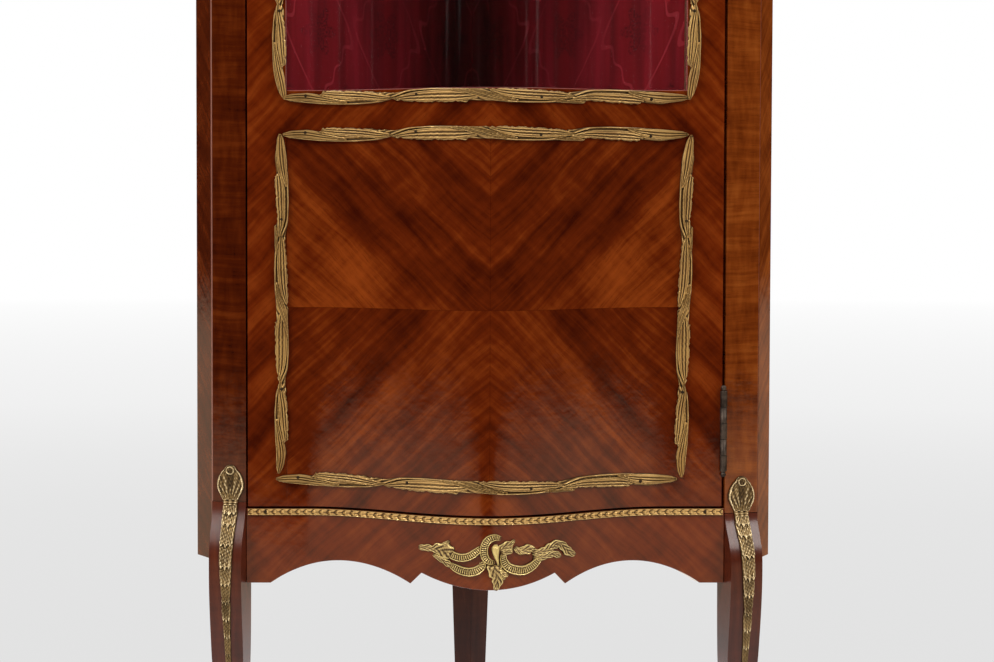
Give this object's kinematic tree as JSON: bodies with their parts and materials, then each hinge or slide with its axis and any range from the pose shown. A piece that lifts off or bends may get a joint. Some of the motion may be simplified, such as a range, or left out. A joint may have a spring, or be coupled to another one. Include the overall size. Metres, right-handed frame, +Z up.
{
  "type": "corner curio cabinet",
  "caption": "Corner curio cabinet with a serpentine glazed door over a veneered panel, glass shelves and curved legs with gilt mounts.",
  "frame": {"origin": "middle of the overall box on the floor, under the three feet", "axes": "+Z up, -Y is the front with the door, +X to the right of a person facing the door, +Y runs to the room corner"},
  "size_m": [0.6454, 0.46, 1.6],
  "materials": {
    "veneer": "mahogany veneer under a clear gloss lacquer",
    "quartered_veneer": "quarter-matched mahogany veneer under a clear gloss lacquer",
    "case_wood": "stained wood, satin",
    "gilt_bronze": "cast and chased, gilt worn and dark in the hollows",
    "hinge_brass": "tarnished brown brass",
    "lock_steel": "dull steel",
    "lining_cloth": "burgundy damask",
    "glass": "clear, polished"
  },
  "bodies": {
    "root": {"left_front_stile": "veneer", "right_front_stile": "veneer", "left_front_leg": "veneer", "right_front_leg": "veneer", "left_side_return": "veneer", "right_side_return": "veneer", "rear_leg_post": "veneer", "left_back_panel": "case_wood", "right_back_panel": "case_wood", "bottom_board": "case_wood", "cupboard_shelf": "case_wood", "display_floor": "case_wood", "top_board": "case_wood", "left_cupboard_batten": "case_wood", "right_cupboard_batten": "case_wood", "left_lower_shelf_batten": "case_wood", "right_lower_shelf_batten": "case_wood", "left_upper_shelf_batten": "case_wood", "right_upper_shelf_batten": "case_wood", "left_lining": "lining_cloth", "right_lining": "lining_cloth", "lower_glass_shelf": "glass", "upper_glass_shelf": "glass", "apron_rail": "veneer", "frieze_rail": "veneer", "cornice_moulding": "veneer", "apron_band": "gilt_bronze", "frieze_band": "gilt_bronze", "apron_mount": "gilt_bronze", "left_knee_mount": "gilt_bronze", "right_knee_mount": "gilt_bronze", "left_sabot": "gilt_bronze", "right_sabot": "gilt_bronze", "lower_hinge_case_leaf": "hinge_brass", "lower_hinge_pin": "hinge_brass", "upper_hinge_case_leaf": "hinge_brass", "upper_hinge_pin": "hinge_brass"},
    "door": {"door_lock_stile": "veneer", "door_hinge_stile": "veneer", "door_top_rail": "veneer", "door_middle_rail": "veneer", "door_bottom_rail": "veneer", "door_panel": "quartered_veneer", "door_glass": "glass", "glazing_bead": "case_wood", "glass_moulding_bottom": "gilt_bronze", "glass_moulding_top": "gilt_bronze", "glass_moulding_left": "gilt_bronze", "glass_moulding_right": "gilt_bronze", "panel_moulding_bottom": "gilt_bronze", "panel_moulding_top": "gilt_bronze", "panel_moulding_left": "gilt_bronze", "panel_moulding_right": "gilt_bronze", "lower_hinge_door_leaf": "hinge_brass", "upper_hinge_door_leaf": "hinge_brass", "lock_case": "lock_steel", "escutcheon": "gilt_bronze"},
    "key": {"key": "hinge_brass"},
    "lock_bolt": {"lock_bolt": "lock_steel"}
  },
  "joints": [
    {"name": "door_swing", "type": "hinge", "parent": "root", "child": "door", "pos_m": [0.2536, -0.13186, 0.3433], "axis": [0, 0, 1], "range_deg": [0, 105]},
    {"name": "key_turn", "type": "hinge", "parent": "door", "child": "key", "pos_m": [-0.23944, -0.13, 0.87], "axis": [0, -1, 0], "range_deg": [0, 180]},
    {"name": "bolt_slide", "type": "slide", "parent": "door", "child": "lock_bolt", "axis": [-1, 0, 0], "range_m": [0, 0.007]}
  ],
  "couplings": [
    {"joint": "bolt_slide", "follows": "key_turn", "m_per_rad": 0.002228}
  ]
}
